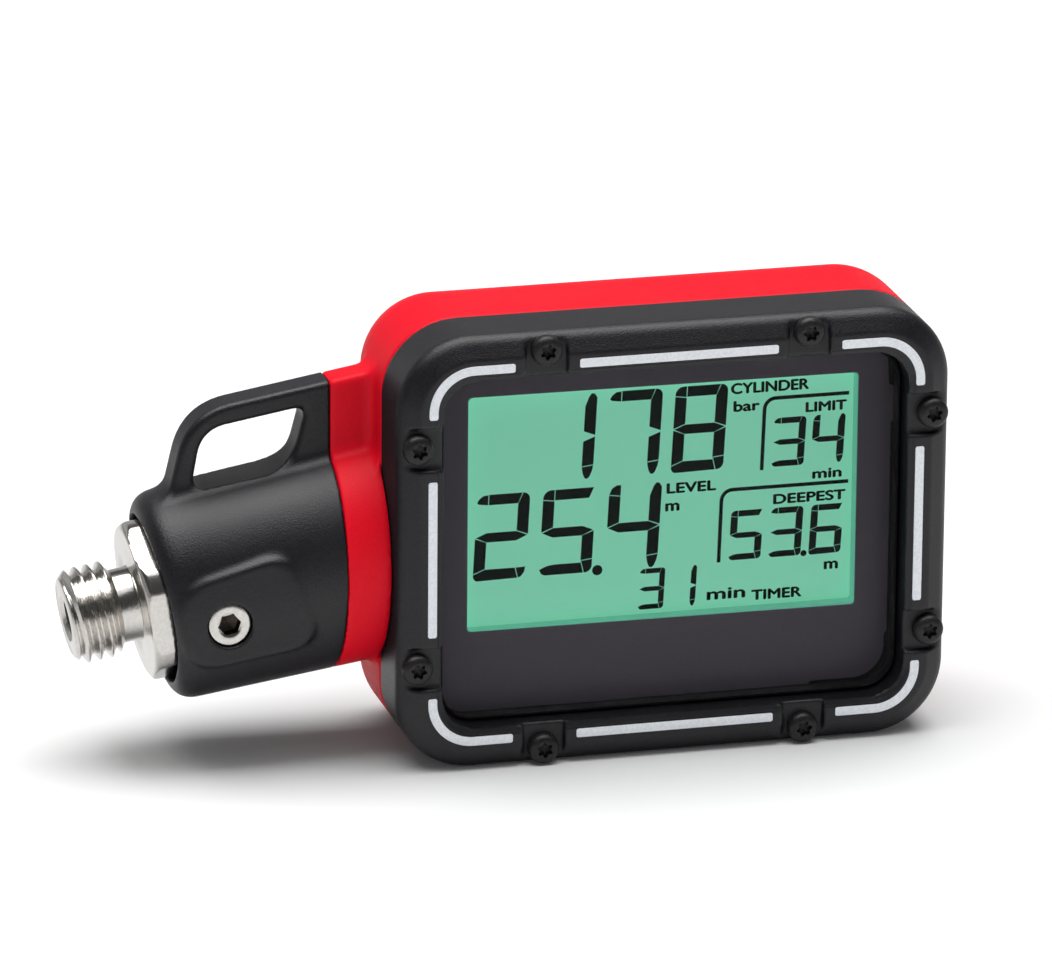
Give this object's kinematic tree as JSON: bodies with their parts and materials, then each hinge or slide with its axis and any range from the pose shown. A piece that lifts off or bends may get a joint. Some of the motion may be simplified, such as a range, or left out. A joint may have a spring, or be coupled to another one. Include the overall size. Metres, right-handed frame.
{
  "type": "dive computer",
  "caption": "Console dive computer: a red and black display housing with a lens and an LCD, on a handle with a lanyard loop and a swivelling high-pressure hose fitting.",
  "frame": {"origin": "bottom centre of the whole object's box, on the surface that the housing stands on", "axes": "+X to the display's right, +Z is the display's up, the display faces -Y, the handle points to -X and slightly down"},
  "size_m": [0.1102, 0.0278, 0.056],
  "materials": {
    "red_shell": "satin soft-touch moulding",
    "black_plastic": "fine-grained matte moulding",
    "black_steel": "black-oxide satin",
    "glow_white": "smooth phosphorescent insert",
    "clear_lens": "clear polished window",
    "black_rubber": "moulded rubber",
    "mask_print": "printed satin sheet",
    "lcd_green": "reflective green display",
    "guide_white": "frosted light guide",
    "led_white": "moulded LED",
    "elastomer": "layered contact rubber",
    "dark_plastic": "plain moulding",
    "board_green": "solder mask",
    "chip_black": "moulded package",
    "steel": "machined stainless",
    "cell_steel": "rolled nickel-plated can",
    "contact_brass": "stamped brass",
    "wire_red": "wire insulation",
    "fitting_steel": "turned bright stainless",
    "washer_ptfe": "natural low-friction plastic"
  },
  "bodies": {
    "housing": {"rear_shell": "red_shell", "front_bezel": "black_plastic", "bezel_screws": "black_steel", "straight_glow_strips": "glow_white", "corner_glow_strips": "glow_white", "lens": "clear_lens", "lens_gasket": "black_rubber", "display_mask": "mask_print", "lcd_panel": "lcd_green", "light_guide": "guide_white", "backlight_leds": "led_white", "contact_strips": "elastomer", "display_frame": "dark_plastic", "main_board": "board_green", "board_parts": "chip_black", "board_screws": "steel", "battery_cell": "cell_steel", "cell_contact_negative": "contact_brass", "cell_contact_positive": "contact_brass", "handle_shroud": "black_plastic", "handle_screws": "steel", "pressure_barrel": "steel", "pressure_sensor": "steel", "pressure_sensor_oring": "black_rubber", "sensor_nut": "steel", "sensor_wires": "wire_red", "thrust_washer": "washer_ptfe", "depth_sensor": "steel", "depth_sensor_oring": "black_rubber", "depth_port_cover": "black_plastic"},
    "swivel_fitting": {"hose_fitting": "fitting_steel", "fitting_orings": "black_rubber"},
    "cap": {"battery_cap": "black_plastic", "battery_cap_oring": "black_rubber"}
  },
  "joints": [
    {"name": "fitting_swivel", "type": "hinge", "parent": "housing", "child": "swivel_fitting", "pos_m": [-0.03539, 0.00263, 0.02168], "axis": [-0.9866, 0, -0.1633], "continuous": true},
    {"name": "cap_turn", "type": "hinge", "parent": "housing", "child": "cap", "pos_m": [0.02774, 0.01153, 0.028], "axis": [0, -1, 0], "range_deg": [0, 40]}
  ]
}
